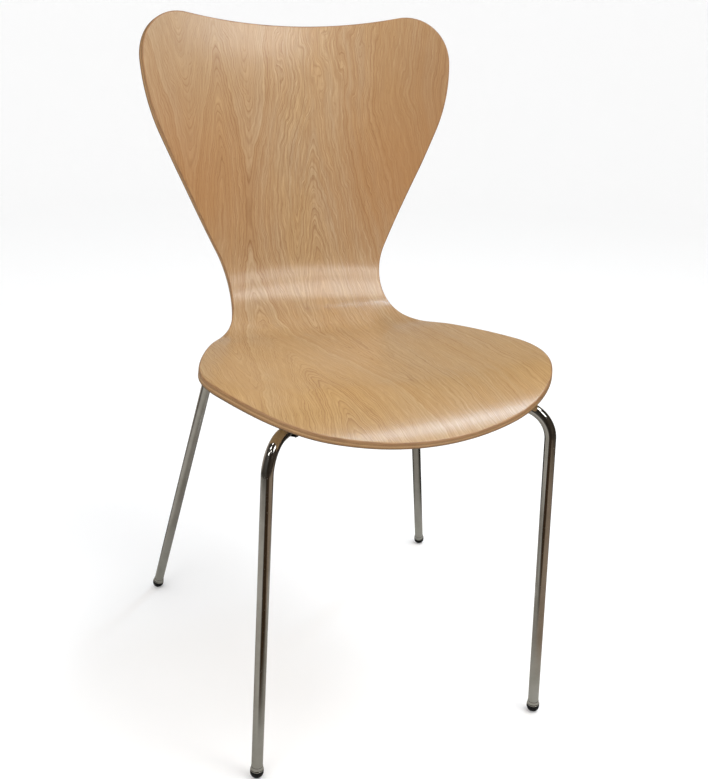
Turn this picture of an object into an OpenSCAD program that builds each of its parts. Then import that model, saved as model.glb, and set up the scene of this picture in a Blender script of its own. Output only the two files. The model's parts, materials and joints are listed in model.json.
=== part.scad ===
// Stacking chair: a one-piece moulded plywood shell on four bent tube legs.
// Millimetres. +Z is up, the sitter faces -Y, and left and right are as seen from the front.
// The origin is on the floor, under the middle of the chair.

/* [Shell side profile] */
// Height of the seat's front edge, at mid thickness
front_edge_height = 434; // [420:1:450]
// How far the front edge stands ahead of the chair's centre
front_reach = 263; // [255:1:270]
// Downward slope of the front edge
nose_angle = 28; // [20:1:32]
// Length of the rounded nose, front to back
nose_length = 125; // [110:1:140]
// Backward slope of the seat
seat_pitch = 2; // [0:0.5:4]
// Length of the straight part of the seat
seat_length = 235; // [220:1:250]
// Length of the bend between seat and back
bend_length = 175; // [160:1:190]
// Turn of that bend
bend_turn = 81; // [76:1:84]
// Length of the lumbar stretch above the bend
lumbar_length = 120; // [100:1:140]
// Turn of the lumbar stretch
lumbar_turn = 8; // [4:1:10]
// Length of the upper back
crown_length = 210; // [200:1:225]
// Backward turn of the upper back
crown_turn = 14; // [8:1:18]

/* [Shell cross section] */
// Thickness of one of the five plies
ply = 2.1; // [1.8:0.1:2.3]
// Radius of the seat's hollow across the chair
seat_dish_radius = 1700; // [1400:50:2400]
// Radius of the back's wrap across the chair
back_wrap_radius = 640; // [560:20:900]

/* [Leg frame] */
// Outer diameter of the leg tube
tube_d = 14; // [13:0.5:15]
// Wall thickness of the leg tube
tube_wall = 1.5; // [1.2:0.1:2]
// Centre line radius of the bend under the seat
knee_radius = 36; // [30:1:42]
// Height of the tubes under the seat, at their centre line
run_height = 437; // [434:0.5:438]
// Half the distance between the front feet
front_foot_x = 192; // [180:1:200]
// Distance of the front feet ahead of the centre
front_foot_y = 214; // [205:1:225]
// Half the distance between the rear feet
rear_foot_x = 235; // [220:1:245]
// Distance of the rear feet behind the centre
rear_foot_y = 262; // [250:1:270]
// Diameter of the mounting plate
plate_d = 124; // [116:1:130]
// Thickness of the mounting plate
plate_t = 4; // [3:0.5:4]
// Diameter of the circle that the four plate screws stand on
screw_circle_d = 90; // [84:1:96]

/* [Glides and bumpers] */
// Outer diameter of the glides
glide_d = 16.8; // [16:0.2:18]
// Length of the rubber bumpers along the tube
bumper_length = 24; // [18:1:30]
// Outer diameter of the bumpers around the tube
bumper_d = 26; // [22:1:28]

/* [Hidden] */
$fn = 64;
eps = 0.01;
over = 1;                       // cuts run this far past the face that they open
cut_reach = 60;                 // longer than anything that is cut through

// Colours
face_wood = [0.79, 0.63, 0.43];
cross_wood = [0.58, 0.42, 0.26];
chrome = [0.75, 0.75, 0.76];
zinc = [0.62, 0.63, 0.65];
black_rubber = [0.06, 0.06, 0.06];
black_plastic = [0.09, 0.09, 0.10];

// Side profile of the shell, front edge to top: [length, turn in degrees] of each stretch
profile_stretches = [
    [nose_length, -(nose_angle + seat_pitch)],
    [seat_length, 0],
    [bend_length, bend_turn],
    [lumbar_length, lumbar_turn],
    [crown_length, -crown_turn]
];

// Right half of the flat blank's outline, front centre to top lobe: [length, turn] again
open_outline = [
    [110, 19],      // front edge
    [242, 84],      // round seat lobe
    [200, 19],      // seat flank, running in to the waist
    [150, -57],     // waist
    [180, 0],       // straight flank of the back
    [95, 23],       // shoulder of the back
    [110, 99]       // top lobe
];
open_length = total(open_outline, 0);
open_end = walk(open_outline, open_length);
// A last stretch closes the outline on the centre line: the dip between the top lobes
dip_turn = 180 - open_end[1];
dip_length = open_end[0][0] / sin(open_end[1]) * dip_turn * PI / 180;
blank_outline = concat(open_outline, [[dip_length, dip_turn]]);
outline_length = open_length + dip_length;

// Grid that the shell's faces are laid on
half_columns = 9;
rows = 56;
// Outline lengths where the front edge becomes the side, and the side becomes the top edge
front_corner = 220;
top_corner = 1022;
corner_reach = 4;       // how quickly the curved end rows straighten out

// Where the shell's cross section changes from dished seat to flat bend to wrapped back
dish_fades_at = 320;
flat_at = nose_length + seat_length + bend_length / 2;
wrap_full_at = nose_length + seat_length + bend_length + lumbar_length;
shell_t = 5 * ply;
flat_curvature = 0.000001;      // the section counts as straight below this
seat_search_end = nose_length + seat_length + 60;
halvings = 24;

// Leg frame
hub_y = -20;                    // centre of the mounting plate
front_knee = [174, -220];       // where the leg's line meets the tube run, right side
rear_knee = [151, 141];
hub_gap = 22;                   // the tubes stop this far from the hub's centre
tube_r = tube_d / 2;
bore_r = tube_r - tube_wall;
bend_lap = 1;                   // degrees that a bend laps into its straights
bend_slim = 0.03;
plate_bottom = run_height + tube_r;
plate_top = plate_bottom + plate_t;
screw_r = 2.95;                 // M6, just under the 6 mm bores that it turns in
m6_bore_r = 3;
clearance_r = 3.3;
washer_r = 6;
washer_t = 1.6;
spring_washer_r = 5.2;
spring_washer_t = 1.5;
screw_head_r = 5.5;
screw_head_h = 3.3;
screw_l = 16;
hex_key = 4;
tee_flange_r = 9;
tee_flange_t = 1.2;
tee_barrel_r = 4;
tee_clearance = 0.4;            // lift that keeps the upright flange clear of the sloping ply
flange_gap = 0.2;
barrel_gap = 0.05;
pad_blank_h = 15;               // height of the pad before its top is shaped
arc_steps = 24;
split_w = 0.8;                  // split of a spring washer, and its lean in degrees
split_lean = 25;
head_dome = 1.2;                // a button head's dome radius, and its socket's depth, as shares of
socket_share = 0.65;            // the head's radius and height

// Glides
glide_r = glide_d / 2;
glide_flat = 0.3;               // the dome loses this much to its flat underside
glide_centre_z = glide_r - glide_flat;
collar_h = 3;
stem_h = 18;
stem_r = bore_r - 0.02;         // the stem fills the tube's bore, less a hair
stem_chamfer = 1;
ferrule_h = 6;
ferrule_lip_h = 1.2;
ferrule_lip_r = glide_r - 0.1;
ferrule_top_r = tube_r + 0.4;
ferrule_bore_r = tube_r + 0.02;

// Bumpers: distance of their middles from the knees, along the tube
front_bumper_at = 71;
rear_bumper_at = 52;
clip_slot = 9;
bumper_bore_r = tube_r + 0.02;
bumper_blank_h = 40;            // height of the saddle before its top is shaped
bumper_clearance = 0.05;

// Cover
cover_r = plate_d / 2 + 5;
cover_wall = 2.4;
cover_round = 6;
cover_floor_z = run_height - tube_r - 4;
cover_rim_z = plate_bottom + 1;
tube_slot_r = tube_r + 0.4;
boss_r = 6;
m5_bore_r = 2.5;
m5_clearance_r = 2.8;
m5_screw_r = 2.45;
cover_screw_l = 14;
cover_head_r = 4.75;
cover_head_h = 2.75;
cover_hex_key = 3;

function total(list, column, i = 0) = i == len(list) ? 0 : list[i][column] + total(list, column, i + 1);
function unit(v) = v / norm(v);
function ease(t) = let (c = min(max(t, 0), 1)) c * c * (3 - 2 * c);

// End of an arc, or of a straight stretch when turn is 0
function stretch_end(start, length, turn, heading) =
    turn == 0
        ? start + length * [cos(heading), sin(heading)]
        : let (r = length * 180 / (PI * turn))
          start + r * [sin(heading + turn) - sin(heading), cos(heading) - cos(heading + turn)];

// Point and heading at a distance along a chain of stretches
function walk(stretches, distance, start = [0, 0], heading = 0, i = 0) =
    let (length = stretches[i][0], turn = stretches[i][1])
    distance <= length || i == len(stretches) - 1
        ? let (part = turn * distance / length)
          [stretch_end(start, distance, part, heading), heading + part]
        : let (end = stretch_end(start, length, turn, heading))
          walk(stretches, distance - length, end, heading + turn, i + 1);

function profile_at(s) = walk(profile_stretches, s, [-front_reach, front_edge_height], nose_angle);
function outline_at(length) = walk(blank_outline, length)[0];

// Curvature of the cross section at a distance s from the front edge
function cross_curvature(s) =
    (1 - ease((s - dish_fades_at) / (flat_at - dish_fades_at))) / seat_dish_radius
    + ease((s - flat_at) / (wrap_full_at - flat_at)) / back_wrap_radius;

// Sideways position and rise of a point x from the centre line, measured along the section
function across(x, k) =
    abs(k) < flat_curvature
        ? [x, 0]
        : let (a = x * k * 180 / PI) [sin(a), 1 - cos(a)] / k;

// Place of the blank's point (x, s) on the bent shell, off from mid thickness towards the sitter
function shell_point(x, s, off) =
    let (
        side = profile_at(s),
        k = cross_curvature(s),
        section = across(x, k),
        tilt = x * k * 180 / PI,
        rise = section[1] + off * cos(tilt)
    )
    [
        section[0] - off * sin(tilt),
        side[0][0] - rise * sin(side[1]),
        side[0][1] + rise * cos(side[1])
    ];
function shell_normal(x, s) = unit(shell_point(x, s, 1) - shell_point(x, s, 0));

// Blank point of the grid: u runs from 0 at the centre line to 1 at the edge, and v from 0 at the
// front to 1 at the top
function centre_s(v) =
    let (
        side_s = outline_at(front_corner + v * (top_corner - front_corner))[1],
        front_lift = outline_at(front_corner)[1],
        top_drop = outline_at(top_corner)[1] - outline_at(outline_length)[1]
    )
    side_s - front_lift * pow(1 - v, corner_reach) - top_drop * pow(v, corner_reach);
function plain_row(u, v) =
    let (side = outline_at(front_corner + v * (top_corner - front_corner)), middle = centre_s(v))
    [side[0] * u, middle + (side[1] - middle) * u * u];
function blank_point(u, v) =
    let (
        front = outline_at(u * front_corner),
        top = outline_at(outline_length - u * (outline_length - top_corner))
    )
    plain_row(u, v)
    + pow(1 - v, corner_reach) * (front - plain_row(u, 0))
    + pow(v, corner_reach) * (top - plain_row(u, 1));

// Mirrored points, so that the two halves of the shell match
function grid_point(i, j, off) =
    let (u = i / half_columns, p = blank_point(abs(u), j / rows), q = shell_point(p[0], p[1], off))
    [sign(u) * q[0], q[1], q[2]];

// One ply: the stretch of the shell between two offsets from mid thickness
module ply_sheet(low, high) {
    columns = 2 * half_columns;
    stride = columns + 1;
    layer = stride * (rows + 1);
    points = [
        for (off = [low, high])
            for (j = [0:rows])
                for (i = [-half_columns:half_columns])
                    grid_point(i, j, off)
    ];
    // Going round the edge once, as indices in the lower layer
    edge = concat(
        [for (i = [0:columns - 1]) i],
        [for (j = [0:rows - 1]) j * stride + columns],
        [for (i = [columns:-1:1]) rows * stride + i],
        [for (j = [rows:-1:1]) j * stride]
    );
    faces = concat(
        [
            for (j = [0:rows - 1])
                for (i = [0:columns - 1])
                    each cell_faces(j * stride + i, stride, layer)
        ],
        [
            for (n = [0:len(edge) - 1])
                let (a = edge[n], b = edge[(n + 1) % len(edge)])
                each [[a, a + layer, b + layer], [a, b + layer, b]]
        ]
    );
    polyhedron(points = points, faces = faces, convexity = 6);
}
// Two triangles below and two above for the grid cell whose first corner is a
function cell_faces(a, stride, layer) = [
    [a, a + 1, a + stride + 1],
    [a, a + stride + 1, a + stride],
    [a + layer, a + layer + stride + 1, a + layer + 1],
    [a + layer, a + layer + stride, a + layer + stride + 1]
];

// Distance along the profile at which the seat reaches a given y, by halving
function seat_s(y, low = 0, high = seat_search_end, step = 0) =
    let (middle = (low + high) / 2)
    step == halvings
        ? middle
        : profile_at(middle)[0][0] < y ? seat_s(y, middle, high, step + 1) : seat_s(y, low, middle, step + 1);

// The four screw places, ahead of, behind and beside the hub, between the tubes
module at_screws() {
    for (a = [0:90:270])
        translate([screw_circle_d / 2 * cos(a), hub_y + screw_circle_d / 2 * sin(a), 0])
            children();
}
// Heights of the faces between the plies, at a screw place
function ply_z(a, off) = shell_point(
    screw_circle_d / 2 * cos(a),
    seat_s(hub_y + screw_circle_d / 2 * sin(a)),
    off
)[2];
tee_seat_off = 0.5 * ply;       // the tee nuts' flanges rest on the core ply

module tee_nut_bores(radius) {
    at_screws() translate([0, 0, plate_top]) cylinder(r = radius, h = cut_reach);
}
module seat_face_veneer() {
    color(face_wood) ply_sheet(1.5 * ply, 2.5 * ply);
}
module upper_cross_ply() {
    color(cross_wood) difference() {
        ply_sheet(0.5 * ply, 1.5 * ply);
        tee_nut_bores(tee_flange_r + flange_gap);
    }
}
module core_ply() {
    color(face_wood) difference() {
        ply_sheet(-0.5 * ply, 0.5 * ply);
        tee_nut_bores(tee_barrel_r + barrel_gap);
    }
}
module lower_cross_ply() {
    color(cross_wood) difference() {
        ply_sheet(-1.5 * ply, -0.5 * ply);
        tee_nut_bores(tee_barrel_r + barrel_gap);
    }
}
module back_face_veneer() {
    color(face_wood) difference() {
        ply_sheet(-2.5 * ply, -1.5 * ply);
        tee_nut_bores(tee_barrel_r + barrel_gap);
    }
}

// Tee nuts let in under the face veneer, upright in the sloping plies
module tee_nuts() {
    color(zinc)
        for (a = [0:90:270]) {
            barrel_z = ply_z(a, -2.5 * ply) + tee_clearance;
            flange_z = ply_z(a, tee_seat_off) + tee_clearance;
            translate([screw_circle_d / 2 * cos(a), hub_y + screw_circle_d / 2 * sin(a), 0])
                difference() {
                    union() {
                        translate([0, 0, flange_z]) cylinder(r = tee_flange_r, h = tee_flange_t);
                        translate([0, 0, barrel_z]) cylinder(r = tee_barrel_r, h = flange_z - barrel_z + eps);
                    }
                    translate([0, 0, run_height]) cylinder(r = m6_bore_r, h = cut_reach);
                }
        }
}

// Rubber pad between plate and shell: a wedge with the seat's hollow in its top face
module plate_pad() {
    mid = shell_point(0, seat_s(hub_y), 0);
    color(black_rubber) difference() {
        translate([0, hub_y, plate_top]) cylinder(d = plate_d, h = pad_blank_h);
        translate(mid)
            rotate([90 - seat_pitch, 0, 0])
                linear_extrude(2 * plate_d, center = true)
                    polygon(concat(seat_underside(plate_d), [[plate_d, shell_t], [-plate_d, shell_t]]));
        at_screws() translate([0, 0, run_height]) cylinder(r = clearance_r, h = cut_reach);
    }
}
// Arc across the seat's underside, x from -half to half, measured from mid thickness
function seat_underside(half) =
    [for (i = [0:arc_steps])
        let (x = half * (2 * i / arc_steps - 1), r = seat_dish_radius + shell_t / 2)
            [x, seat_dish_radius - sqrt(r * r - x * x)]];

module mounting_plate() {
    color(zinc) difference() {
        translate([0, hub_y, plate_bottom]) cylinder(d = plate_d, h = plate_t);
        at_screws() translate([0, 0, run_height]) cylinder(r = clearance_r, h = cut_reach);
    }
}

// Screw stack under the plate: flat washer, spring washer, button-head screw
module plate_washers() {
    color(zinc) at_screws() translate([0, 0, plate_bottom - washer_t]) ring(washer_r, clearance_r, washer_t);
}
module plate_spring_washers() {
    color(zinc)
        at_screws()
            translate([0, 0, plate_bottom - washer_t - spring_washer_t])
                difference() {
                    ring(spring_washer_r, clearance_r, spring_washer_t);
                    // The split that makes it a spring
                    rotate([0, split_lean, 0])
                        translate([0, -split_w / 2, -spring_washer_r])
                            cube([2 * spring_washer_r, split_w, 2 * spring_washer_r]);
                }
}
module plate_screws() {
    color(zinc)
        at_screws()
            translate([0, 0, plate_bottom - washer_t - spring_washer_t])
                button_screw(screw_r, screw_head_r, screw_head_h, screw_l, hex_key);
}
module ring(outer, inner, height) {
    difference() {
        cylinder(r = outer, h = height);
        translate([0, 0, -over]) cylinder(r = inner, h = height + 2 * over);
    }
}
// Shank up from z = 0, rounded head below it with a hexagon socket
module button_screw(shank_r, head_r, head_h, length, key) {
    difference() {
        union() {
            cylinder(r = shank_r, h = length);
            intersection() {
                translate([0, 0, -head_h]) cylinder(r = head_r, h = head_h);
                translate([0, 0, head_r * head_dome - head_h]) sphere(r = head_r * head_dome);
            }
        }
        translate([0, 0, -head_h - over])
            cylinder(r = key / 2 / cos(30), h = head_h * socket_share + over, $fn = 6);
    }
}

// Leg: side is -1 on the left and 1 on the right
module leg(side, foot, knee) {
    corner = [side * knee[0], knee[1], run_height];
    line = leg_line(side, foot, knee);
    run = [0, hub_y, run_height] - corner;
    h = unit(run);
    turn = acos(line * h);
    up = unit(line - (line * h) * h);
    w = cross(h, up);
    leg_l = norm(corner - leg_end(side, foot, knee));
    run_l = norm(run) - hub_gap;
    color(chrome)
        multmatrix([
            [h[0], up[0], w[0], corner[0]],
            [h[1], up[1], w[1], corner[1]],
            [h[2], up[2], w[2], corner[2]],
            [0, 0, 0, 1]
        ])
            difference() {
                bent_rod(tube_r, turn, leg_l, run_l);
                bent_rod(bore_r, turn, leg_l + over, run_l + over);
            }
}
// Rod along +X and, past a bend, back down its leg: the two lines would meet at the origin.
// The bend is a hair slimmer than the straights and laps into them.
module bent_rod(r, turn, leg_l, run_l) {
    tangent = knee_radius * tan(turn / 2);
    translate([tangent, 0, 0]) rotate([0, 90, 0]) cylinder(r = r, h = run_l - tangent);
    translate([tangent, -knee_radius, 0])
        rotate([0, 0, 90 - bend_lap])
            rotate_extrude(angle = turn + 2 * bend_lap)
                translate([knee_radius, 0]) circle(r = r - bend_slim);
    rotate([0, 0, turn]) translate([-tangent, 0, 0]) rotate([0, -90, 0]) cylinder(r = r, h = leg_l - tangent);
}
// Direction up the leg, middle of its glide's dome, and end of its tube
function leg_line(side, foot, knee) =
    unit([side * (knee[0] - foot[0]), knee[1] - foot[1], run_height]);
function dome_centre(side, foot, knee) =
    let (line = leg_line(side, foot, knee)) [side * foot[0], foot[1], 0] + line * glide_centre_z / line[2];
function leg_end(side, foot, knee) = dome_centre(side, foot, knee) + leg_line(side, foot, knee) * collar_h;

// Puts a turned piece on a leg's line, with the middle of the glide's dome at z = 0
module on_leg(side, foot, knee) {
    line = leg_line(side, foot, knee);
    translate(dome_centre(side, foot, knee))
        rotate([0, acos(line[2]), atan2(line[1], line[0])])
            children();
}
module ferrule(side, foot, knee) {
    color(chrome)
        on_leg(side, foot, knee)
            translate([0, 0, collar_h])
                rotate_extrude()
                    polygon([
                        [ferrule_bore_r, 0],
                        [ferrule_lip_r, 0],
                        [ferrule_lip_r, ferrule_lip_h],
                        [ferrule_top_r, ferrule_h],
                        [ferrule_bore_r, ferrule_h]
                    ]);
}
module glide(side, foot, knee) {
    stem_top = collar_h + stem_h;
    color(black_plastic)
        intersection() {
            on_leg(side, foot, knee) {
                sphere(r = glide_r);
                cylinder(r = glide_r, h = collar_h);
                cylinder(r = stem_r, h = stem_top - stem_chamfer);
                translate([0, 0, stem_top - stem_chamfer])
                    cylinder(r1 = stem_r, r2 = stem_r - stem_chamfer, h = stem_chamfer);
            }
            // Everything above the floor
            translate([side * foot[0] - cut_reach, foot[1] - cut_reach, 0]) cube(2 * cut_reach);
        }
}

// Rubber saddle clipped on a tube and standing against the shell
module bumper(side, knee, at) {
    run = unit([-side * knee[0], hub_y - knee[1]]);
    place = [side * knee[0], knee[1]] + at * run;
    s = seat_s(place[1]);
    touch = shell_point(place[0], s, -shell_t / 2 - bumper_clearance);
    lean = shell_normal(place[0], s);
    color(black_rubber)
        difference() {
            translate([place[0], place[1], run_height])
                rotate([0, 0, atan2(run[1], run[0])])
                    difference() {
                        rotate([90, 0, 90])
                            linear_extrude(bumper_length, center = true)
                                union() {
                                    circle(d = bumper_d);
                                    translate([-bumper_d / 2, 0]) square([bumper_d, bumper_blank_h]);
                                }
                        rotate([0, 90, 0]) cylinder(r = bumper_bore_r, h = 2 * bumper_length, center = true);
                        translate([-bumper_length, -clip_slot / 2, -bumper_d])
                            cube([2 * bumper_length, clip_slot, bumper_d]);
                    }
            translate(touch)
                rotate([0, acos(lean[2]), atan2(lean[1], lean[0])])
                    translate([-cut_reach, -cut_reach, 0])
                        cube([2 * cut_reach, 2 * cut_reach, cut_reach]);
        }
}

// Steel boss under the plate that the cover is screwed to
module cover_boss() {
    boss_z = cover_floor_z + cover_wall;
    color(zinc) translate([0, hub_y, boss_z]) ring(boss_r, m5_bore_r, plate_bottom - boss_z);
}
// Plastic cap over plate and tube ends
module plate_cover() {
    height = cover_rim_z - cover_floor_z;
    color(black_plastic)
        difference() {
            translate([0, hub_y, cover_floor_z]) cap_body(cover_r, height, cover_round);
            translate([0, hub_y, cover_floor_z + cover_wall])
                cap_body(cover_r - cover_wall, height, cover_round - cover_wall);
            for (side = [-1, 1])
                for (knee = [front_knee, rear_knee])
                    tube_slot(side, knee);
            translate([0, hub_y, 0]) cylinder(r = m5_clearance_r, h = run_height);
        }
}
// Round cap with a rounded lower edge
module cap_body(r, height, rounding) {
    translate([0, 0, rounding]) cylinder(r = r, h = height - rounding);
    cylinder(r = r - rounding, h = rounding + eps);
    translate([0, 0, rounding])
        rotate_extrude()
            translate([r - rounding, 0]) intersection() {
                circle(r = rounding);
                translate([-eps, -rounding]) square([rounding + eps, rounding + eps]);
            }
}
// Slot in the cover's skirt for one tube
module tube_slot(side, knee) {
    run = [side * knee[0], knee[1] - hub_y];
    translate([0, hub_y, run_height])
        rotate([0, 0, atan2(run[1], run[0])]) {
            translate([cover_r / 2, 0, 0]) rotate([0, 90, 0]) cylinder(r = tube_slot_r, h = cover_r);
            translate([cover_r / 2, -tube_slot_r, 0]) cube([cover_r, 2 * tube_slot_r, cut_reach]);
        }
}
module cover_screw() {
    color(zinc)
        translate([0, hub_y, cover_floor_z])
            button_screw(m5_screw_r, cover_head_r, cover_head_h, cover_screw_l, cover_hex_key);
}

// Feet and knees of the front and rear pairs of legs
module front_leg(side) { leg(side, [front_foot_x, -front_foot_y], front_knee); }
module rear_leg(side) { leg(side, [rear_foot_x, rear_foot_y], rear_knee); }
module front_ferrule(side) { ferrule(side, [front_foot_x, -front_foot_y], front_knee); }
module rear_ferrule(side) { ferrule(side, [rear_foot_x, rear_foot_y], rear_knee); }
module front_glide(side) { glide(side, [front_foot_x, -front_foot_y], front_knee); }
module rear_glide(side) { glide(side, [rear_foot_x, rear_foot_y], rear_knee); }

seat_face_veneer();
upper_cross_ply();
core_ply();
lower_cross_ply();
back_face_veneer();
tee_nuts();
plate_pad();
mounting_plate();
plate_washers();
plate_spring_washers();
plate_screws();
front_leg(-1);  // front_left_leg
front_leg(1);  // front_right_leg
rear_leg(-1);  // rear_left_leg
rear_leg(1);  // rear_right_leg
bumper(-1, front_knee, front_bumper_at);  // front_left_bumper
bumper(1, front_knee, front_bumper_at);  // front_right_bumper
bumper(-1, rear_knee, rear_bumper_at);  // rear_left_bumper
bumper(1, rear_knee, rear_bumper_at);  // rear_right_bumper
front_ferrule(-1);  // front_left_ferrule
front_ferrule(1);  // front_right_ferrule
rear_ferrule(-1);  // rear_left_ferrule
rear_ferrule(1);  // rear_right_ferrule
front_glide(-1);  // front_left_glide
front_glide(1);  // front_right_glide
rear_glide(-1);  // rear_left_glide
rear_glide(1);  // rear_right_glide
cover_boss();
plate_cover();
cover_screw();
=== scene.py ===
"""Looks for the stacking chair: a bent plywood shell on four chromed tube legs.

Everything is in metres in the CAD model's own frame, +Z up, the sitter faces -Y and left is -X.
The design sizes repeated from the CAD model are in millimetres and degrees, as they are there.
"""

import json
import math

import bpy
import numpy as np
from mathutils import Matrix, Vector


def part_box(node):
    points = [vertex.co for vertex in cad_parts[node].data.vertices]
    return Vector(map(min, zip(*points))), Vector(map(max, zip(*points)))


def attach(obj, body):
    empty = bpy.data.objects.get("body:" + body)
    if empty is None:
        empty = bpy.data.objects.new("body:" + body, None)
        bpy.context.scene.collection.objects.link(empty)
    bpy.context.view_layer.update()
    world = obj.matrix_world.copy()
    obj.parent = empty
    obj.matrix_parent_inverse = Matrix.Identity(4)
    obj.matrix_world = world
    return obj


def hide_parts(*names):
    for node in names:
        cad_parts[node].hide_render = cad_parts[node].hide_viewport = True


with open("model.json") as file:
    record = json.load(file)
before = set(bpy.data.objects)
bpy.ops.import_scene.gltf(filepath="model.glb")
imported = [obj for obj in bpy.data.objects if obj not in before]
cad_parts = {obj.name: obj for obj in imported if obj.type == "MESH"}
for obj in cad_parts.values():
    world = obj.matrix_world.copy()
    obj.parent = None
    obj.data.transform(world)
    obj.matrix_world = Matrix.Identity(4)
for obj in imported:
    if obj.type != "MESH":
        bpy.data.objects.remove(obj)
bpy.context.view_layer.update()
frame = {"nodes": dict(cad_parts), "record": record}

MOUNT_AT = {mount["name"]: Vector(mount["pos_m"]) for mount in frame["record"]["mounts"]}
MM = 0.001

# ---------------------------------------------------------------------------------------------
# The shell's design, in millimetres and degrees: curves are chains of (length, turn) arcs
# ---------------------------------------------------------------------------------------------
SIDE_PROFILE = [(125, -30), (235, 0), (175, 81), (120, 8), (210, -14)]
NOSE_HEADING = 28
BLANK_EDGE = [(110, 19), (242, 84), (200, 19), (150, -57), (180, 0), (95, 23), (110, 99)]
SEAT_DISH_RADIUS = 1700
BACK_WRAP_RADIUS = 640
DISH_FADES_AT = 320
FLAT_AT = 447.5
WRAP_FULL_AT = 655
NEARLY_FLAT = 1e-7          # the least curvature, so that the formulas hold where the shell is flat
PLY = 2.1
EDGE_ROUNDING = 1.7         # radius that the shell's arrises are sanded to

# The plies from the back face to the sitting face: the looks of their sheets and of their edges
PLY_LOOKS = {
    # The back veneer's edge carries painted shade
    "back_face_veneer": ("back_veneer", "lower_edge_painted_shade"),
    "lower_cross_ply": ("cross_edge", "cross_edge"),
    "core_ply": ("long_edge", "long_edge"),
    "upper_cross_ply": ("cross_edge", "cross_edge"),
    "seat_face_veneer": ("face_veneer", "upper_edge"),
}
HALF_SHELL = len(PLY_LOOKS) * PLY / 2

# The leg frame, in millimetres
TUBE_RADIUS = 7.0
BORE_RADIUS = 5.5
KNEE_BEND = 36.0
KNEES = {"front": (174.0, -220.0), "rear": (151.0, 141.0)}
HUB_GAP = 22.0
TUBE_CHAMFER = (0.3, 0.25)  # along the tube and across its wall
GLIDE_RADIUS = 8.4
GLIDE_CENTRE_Z = 8.1
GLIDE_ROUNDING = 0.5
COLLAR = 3.0
STEM = 18.0
STEM_CHAMFER = 1.0
FERRULE_INSET = 0.1         # the ferrule's rim stands this far inside the glide
FERRULE_LIP = 0.45
FERRULE_LIP_TOP = 0.95
FERRULE_NECK = [(0.75, 2.2), (0.42, 3.6), (0.34, 5.75), (0.18, 6.0)]    # (wall, height)
FIT_GAP = 0.02              # between the tube and what fits on it or in it
BUMPER_RADIUS = 13.0
BUMPER_LENGTH = 24.0
BUMPER_AT = {"front": 71.0, "rear": 52.0}
BUMPER_GAP = 0.05           # between a bumper and the shell
BUMPER_ROUNDING = 0.9
CLIP_SLOT = 9.0
SIDE_SIGN = {"left": -1, "right": 1}


class ArcChain:
    """A plane curve of arcs and straights, each (length, turn in degrees), turning left."""

    def __init__(self, stretches, heading=0.0):
        self.knots = np.concatenate([[0.0], np.cumsum([length for length, _ in stretches])])
        self.curvature = np.array([math.radians(turn) / length for length, turn in stretches])
        self.starts = [np.zeros(2)]
        self.headings = [math.radians(heading)]
        for i, (length, turn) in enumerate(stretches):
            self.starts.append(self.along_arc(i, np.array([float(length)]))[0][0])
            self.headings.append(self.headings[i] + math.radians(turn))
        self.length = self.knots[-1]

    def along_arc(self, i, run):
        """Points and headings at distances run from the start of arc number i."""
        k, h = self.curvature[i], self.headings[i]
        if k == 0:
            step = np.stack([run * math.cos(h), run * math.sin(h)], -1)
        else:
            step = np.stack([np.sin(h + k * run) - math.sin(h), math.cos(h) - np.cos(h + k * run)], -1) / k
        return self.starts[i] + step, h + k * run

    def at(self, distance):
        """Points and headings, in radians, at an array of distances along the chain."""
        distance = np.asarray(distance, float)
        last = len(self.curvature) - 1
        which = np.clip(np.searchsorted(self.knots, distance, side="right") - 1, 0, last)
        points = np.zeros(distance.shape + (2,))
        headings = np.zeros(distance.shape)
        for i in range(last + 1):
            chosen = which == i
            points[chosen], headings[chosen] = self.along_arc(i, distance[chosen] - self.knots[i])
        return points, headings


def closed_outline(stretches):
    """The half outline with one more arc, which closes it on the centre line heading back along -X."""
    chain = ArcChain(stretches)
    heading = chain.headings[-1]
    turn = math.pi - heading
    length = chain.starts[-1][0] / math.sin(heading) * turn
    return ArcChain(stretches + [(length, math.degrees(turn))])


PROFILE = ArcChain(SIDE_PROFILE, NOSE_HEADING)
OUTLINE = closed_outline(BLANK_EDGE)
FRONT_CORNER = 220      # outline lengths where the front edge ends and the top edge starts
TOP_CORNER = 1022


def ease(t):
    """A smooth step from 0 to 1."""
    t = np.clip(t, 0, 1)
    return t * t * (3 - 2 * t)


def cross_curvature(s):
    """Curvature of the shell's cross section at distances s from its front edge."""
    dish = (1 - ease((s - DISH_FADES_AT) / (FLAT_AT - DISH_FADES_AT))) / SEAT_DISH_RADIUS
    return dish + ease((s - FLAT_AT) / (WRAP_FULL_AT - FLAT_AT)) / BACK_WRAP_RADIUS


def shell_points(x, s, off):
    """Places of the flat blank's points (x, s), off from mid thickness towards the sitter, in mm."""
    along, heading = PROFILE.at(s)
    k = np.maximum(cross_curvature(s), NEARLY_FLAT)
    rise = (1 - np.cos(x * k)) / k + off * np.cos(x * k)
    return np.stack([
        np.sin(x * k) / k - off * np.sin(x * k),
        along[..., 0] - rise * np.sin(heading),
        along[..., 1] + rise * np.cos(heading),
    ], -1)


def edge_points(length, inset):
    """Points of the blank's right edge at distances along it, set in by inset."""
    point, heading = OUTLINE.at(length)
    return point + inset * np.stack([-np.sin(heading), np.cos(heading)], -1)


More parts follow.
